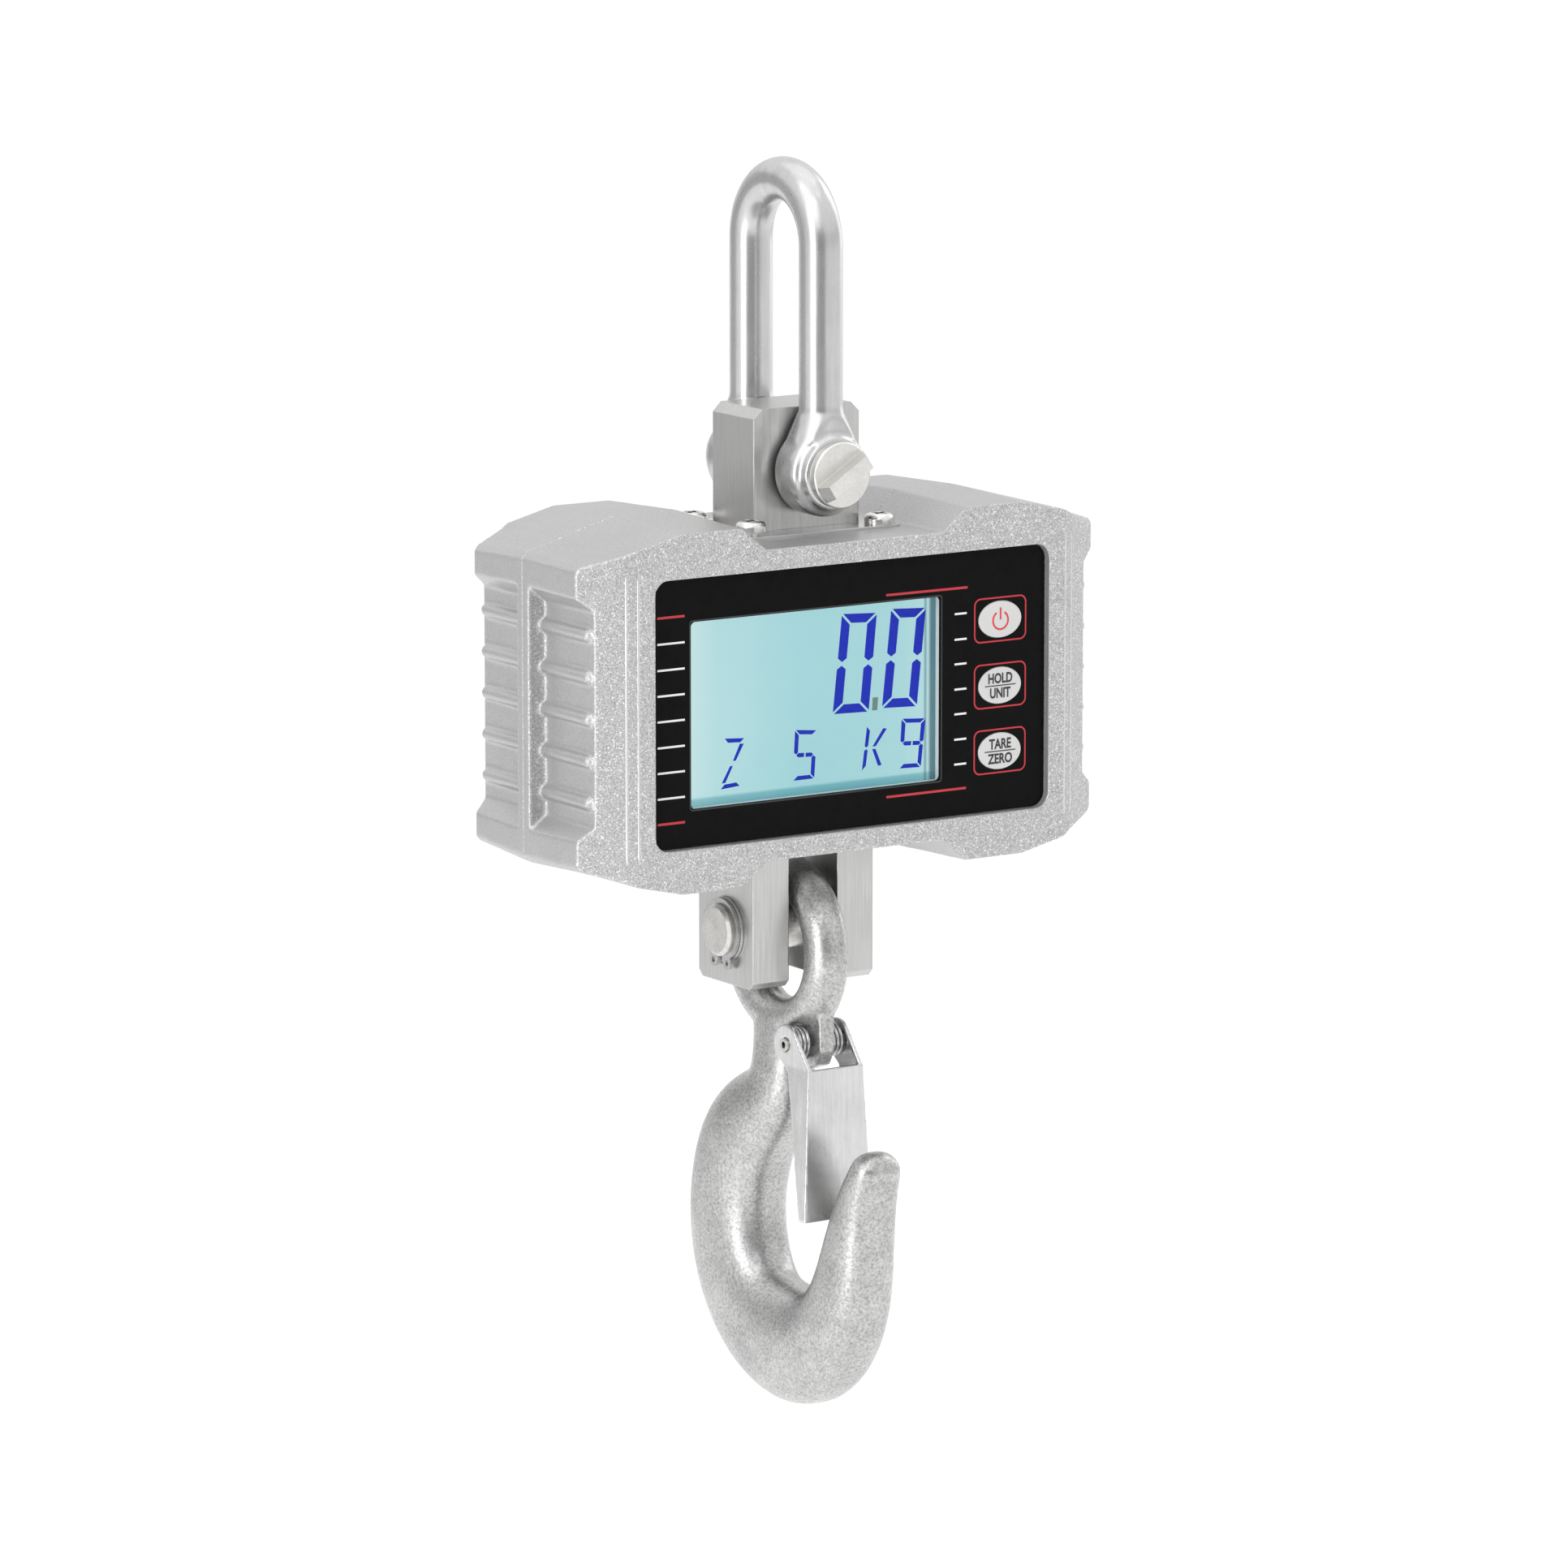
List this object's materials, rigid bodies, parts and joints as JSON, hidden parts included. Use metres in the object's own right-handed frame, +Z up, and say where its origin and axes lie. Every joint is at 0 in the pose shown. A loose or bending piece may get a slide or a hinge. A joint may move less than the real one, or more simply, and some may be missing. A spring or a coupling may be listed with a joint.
{
  "type": "hanging crane scale",
  "caption": "Hanging crane scale: a long screw-pin shackle over a ribbed metal housing with a backlit display and three keys, and an eye hook with a sprung safety latch below.",
  "frame": {"origin": "the point of the bow's inner crown that rests in the crane's hook, on the plumb line of the load", "axes": "+Z up along the line of the load, -Y towards the person reading the display, +X to that person's right; the upper pin runs along Y and the lower pin along X"},
  "size_m": [0.186, 0.0986, 0.3814],
  "materials": {
    "board_green": "solder resist",
    "bow_steel": "polished",
    "box_plastic": "moulded",
    "cable_jacket": "satin",
    "cell_jacket": "printed jacket",
    "cell_steel": "brushed",
    "circlip_steel": "spring steel, zinc plated",
    "contact_steel": "nickel plated",
    "gauge_foil": "satin",
    "gauge_sealant": "matte",
    "hook_zinc": "forged steel, zinc plated",
    "housing_paint": "textured silver grey paint on die-cast aluminium",
    "key_grey": "satin light grey",
    "latch_zinc": "pressed sheet steel, zinc plated",
    "lcd_frame_plastic": "satin",
    "lcd_glass": "backlit liquid crystal glass",
    "lcd_light": "diffuse light guide",
    "lid_plastic": "textured silver grey paint",
    "panel_black": "gloss black overlay with printed marks",
    "pin_steel": "machined",
    "plate_steel": "satin",
    "screw_steel": "bright",
    "seal_rubber": "matte",
    "spring_steel": "spring wire",
    "switch_black": "moulded",
    "washer_steel": "satin",
    "window_clear": "clear acrylic"
  },
  "bodies": {
    "shackle": {"shackle_bow": "bow_steel", "shackle_pin": "pin_steel"},
    "scale_body": {"load_cell": "cell_steel", "strain_gauges": "gauge_foil", "gauge_covers": "gauge_sealant", "housing_seal": "seal_rubber", "front_housing": "housing_paint", "rear_housing": "housing_paint", "housing_screws": "screw_steel", "top_plate": "plate_steel", "top_seal": "seal_rubber", "top_plate_screws": "screw_steel", "bottom_plate": "plate_steel", "bottom_seal": "seal_rubber", "bottom_plate_screws": "screw_steel", "front_panel": "panel_black", "display_window": "window_clear", "lcd_frame": "lcd_frame_plastic", "lcd_glass": "lcd_glass", "lcd_backlight": "lcd_light", "key_board": "board_green", "tact_switches": "switch_black", "main_board": "board_green", "main_board_screws": "screw_steel", "board_chips": "switch_black", "buzzer": "switch_black", "battery_box": "box_plastic", "battery_cells": "cell_jacket", "battery_contacts": "contact_steel", "battery_lid": "lid_plastic", "battery_lid_seal": "seal_rubber", "battery_lid_screws": "screw_steel", "load_cell_cable": "cable_jacket", "battery_lead": "cable_jacket"},
    "power_key": {"power_key": "key_grey"},
    "hold_unit_key": {"hold_unit_key": "key_grey"},
    "tare_zero_key": {"tare_zero_key": "key_grey"},
    "hook_pin": {"hook_pin": "pin_steel", "pin_washers": "washer_steel", "pin_circlips": "circlip_steel"},
    "hook": {"hook": "hook_zinc", "latch_pin": "pin_steel"},
    "latch": {"safety_latch": "latch_zinc", "latch_spring": "spring_steel"}
  },
  "joints": [
    {"name": "bow_swing", "type": "hinge", "parent": "shackle", "child": "scale_body", "pos_m": [0, 0, -0.0793], "axis": [0, 1, 0], "range_deg": [-90, 90]},
    {"name": "hook_pin_spin", "type": "hinge", "parent": "scale_body", "child": "hook_pin", "pos_m": [0, 0, -0.2195], "axis": [1, 0, 0], "continuous": true},
    {"name": "hook_swing", "type": "hinge", "parent": "scale_body", "child": "hook", "pos_m": [0, 0, -0.2195], "axis": [1, 0, 0], "range_deg": [-75, 75]},
    {"name": "latch_open", "type": "hinge", "parent": "hook", "child": "latch", "pos_m": [0, -0.0148, -0.254], "axis": [1, 0, 0], "range_deg": [0, 36], "stiffness_Nm_per_rad": 0.12, "springref_deg": -28.65},
    {"name": "power_press", "type": "slide", "parent": "scale_body", "child": "power_key", "axis": [0, 1, 0], "range_m": [0, 0.0006], "stiffness_N_per_m": 400, "springref_m": -0.002},
    {"name": "hold_unit_press", "type": "slide", "parent": "scale_body", "child": "hold_unit_key", "axis": [0, 1, 0], "range_m": [0, 0.0006], "stiffness_N_per_m": 400, "springref_m": -0.002},
    {"name": "tare_zero_press", "type": "slide", "parent": "scale_body", "child": "tare_zero_key", "axis": [0, 1, 0], "range_m": [0, 0.0006], "stiffness_N_per_m": 400, "springref_m": -0.002}
  ]
}
